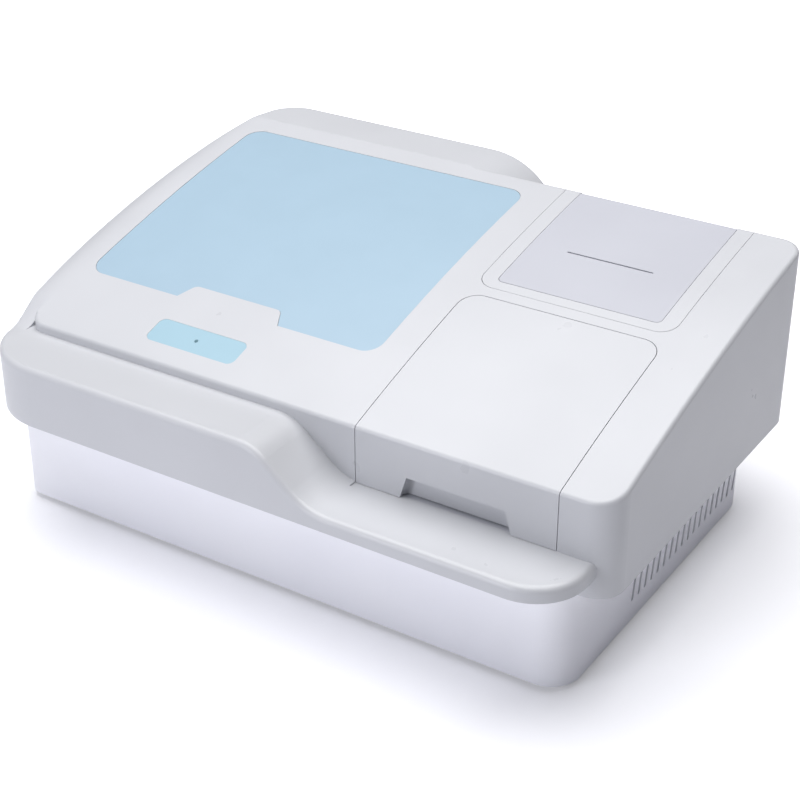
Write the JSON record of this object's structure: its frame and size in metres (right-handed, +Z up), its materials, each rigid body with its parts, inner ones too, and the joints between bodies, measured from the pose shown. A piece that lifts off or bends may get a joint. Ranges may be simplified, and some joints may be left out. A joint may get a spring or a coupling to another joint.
{
  "type": "microplate reader",
  "caption": "Bench-top microplate reader with a sloping crowned deck, hinged plate lid, paper door, blue panel and a wave-edged casing.",
  "frame": {"origin": "on the bench under the middle of the casing's bounding box", "axes": "+X towards the user's right along the wide front, +Y towards the back, +Z up; the user's side faces -Y"},
  "size_m": [0.463, 0.3486, 0.2042],
  "materials": {
    "cover_plastic": "light grey moulded plastic, very fine texture",
    "base_plastic": "cool light grey moulded plastic, fine texture",
    "liner_plastic": "dark grey moulded plastic",
    "rubber_grey": "moulded rubber",
    "rubber_black": "black rubber",
    "galvanised_steel": "zinc-plated sheet steel",
    "bright_steel": "ground bright steel",
    "black_steel": "black painted steel",
    "anodised_aluminium": "clear anodised aluminium",
    "black_aluminium": "matt black anodised aluminium",
    "black_plastic": "black moulded plastic",
    "paper_white": "thermal paper",
    "panel_film": "pale blue polyester film, satin",
    "label_film": "pale blue polyester film, satin",
    "led_lens": "tinted diffusing plastic",
    "optical_glass": "clear polished glass",
    "filter_glass": "coated interference filter glass",
    "circuit_board": "green solder mask on glass-fibre board"
  },
  "bodies": {
    "casing": {"band_underside": "base_plastic", "base_tray": "base_plastic", "bay_liner": "liner_plastic", "chassis_plate": "galvanised_steel", "column_underside": "base_plastic", "condenser_lens": "optical_glass", "detector_block": "black_aluminium", "display_panel": "panel_film", "door_hinge_pin": "bright_steel", "drive_belt": "rubber_black", "drive_motor": "black_steel", "fan_frame": "black_plastic", "filter_motor": "black_steel", "guide_rods": "bright_steel", "idler_bracket": "galvanised_steel", "lamp_bulb": "optical_glass", "lamp_housing": "black_steel", "lcd_module": "black_plastic", "lid_hinge_pin": "bright_steel", "main_board": "circuit_board", "mains_inlet": "black_plastic", "motor_bracket": "galvanised_steel", "optics_frame": "black_aluminium", "paper_bucket": "black_plastic", "paper_spindle": "black_plastic", "power_supply": "galvanised_steel", "printer_bezel": "cover_plastic", "printer_mechanism": "black_plastic", "printer_shelf": "galvanised_steel", "reading_lenses": "optical_glass", "rear_panel": "galvanised_steel", "rod_end_blocks": "anodised_aluminium", "rubber_feet": "rubber_grey", "serial_port": "bright_steel", "status_label": "label_film", "status_led": "led_lens", "switch_housing": "black_plastic", "top_cover": "cover_plastic", "usb_port": "bright_steel"},
    "lid": {"plate_lid": "cover_plastic"},
    "paper_door": {"printer_door": "cover_plastic"},
    "carrier": {"plate_carrier": "anodised_aluminium"},
    "drive_wheel": {"drive_pulley": "anodised_aluminium"},
    "idler_wheel": {"idler_pulley": "anodised_aluminium"},
    "wheel": {"filter_wheel": "black_aluminium", "filter_glasses": "filter_glass"},
    "rotor": {"fan_rotor": "black_plastic"},
    "platen": {"platen_roller": "rubber_black"},
    "roll": {"paper_roll": "paper_white"},
    "rocker": {"power_rocker": "black_plastic"}
  },
  "joints": [
    {"name": "lid_hinge", "type": "hinge", "parent": "casing", "child": "lid", "pos_m": [0.127, 0.01575, 0.17339], "axis": [-1, 0, 0], "range_deg": [0, 105]},
    {"name": "printer_door_hinge", "type": "hinge", "parent": "casing", "child": "paper_door", "pos_m": [0.127, 0.13055, 0.19955], "axis": [-1, 0, 0], "range_deg": [0, 95]},
    {"name": "carrier_slide", "type": "slide", "parent": "casing", "child": "carrier", "axis": [1, 0, 0], "range_m": [-0.158, 0]},
    {"name": "drive_pulley_spin", "type": "hinge", "parent": "casing", "child": "drive_wheel", "pos_m": [-0.1565, -0.00725, 0.094], "axis": [0, 1, 0], "range_deg": [-1140, 2]},
    {"name": "idler_pulley_spin", "type": "hinge", "parent": "casing", "child": "idler_wheel", "pos_m": [0.1895, -0.00725, 0.094], "axis": [0, 1, 0], "range_deg": [-1140, 2]},
    {"name": "filter_wheel_spin", "type": "hinge", "parent": "casing", "child": "wheel", "pos_m": [-0.021, 0.04775, 0.13], "axis": [1, 0, 0], "continuous": true},
    {"name": "fan_spin", "type": "hinge", "parent": "casing", "child": "rotor", "pos_m": [0.09, 0.11325, 0.038], "axis": [0, 1, 0], "continuous": true},
    {"name": "platen_spin", "type": "hinge", "parent": "casing", "child": "platen", "pos_m": [0.127, 0.06235, 0.17986], "axis": [1, 0, 0], "continuous": true},
    {"name": "paper_roll_spin", "type": "hinge", "parent": "casing", "child": "roll", "pos_m": [0.127, 0.10075, 0.15], "axis": [1, 0, 0], "continuous": true},
    {"name": "power_rocker_tilt", "type": "hinge", "parent": "casing", "child": "rocker", "pos_m": [-0.055, 0.13125, 0.037], "axis": [0, 0, 1], "range_deg": [-8, 8]}
  ],
  "couplings": [
    {"joint": "drive_pulley_spin", "follows": "carrier_slide", "rad_per_m": 125},
    {"joint": "idler_pulley_spin", "follows": "carrier_slide", "rad_per_m": 125},
    {"joint": "platen_spin", "follows": "paper_roll_spin", "ratio": -4}
  ]
}
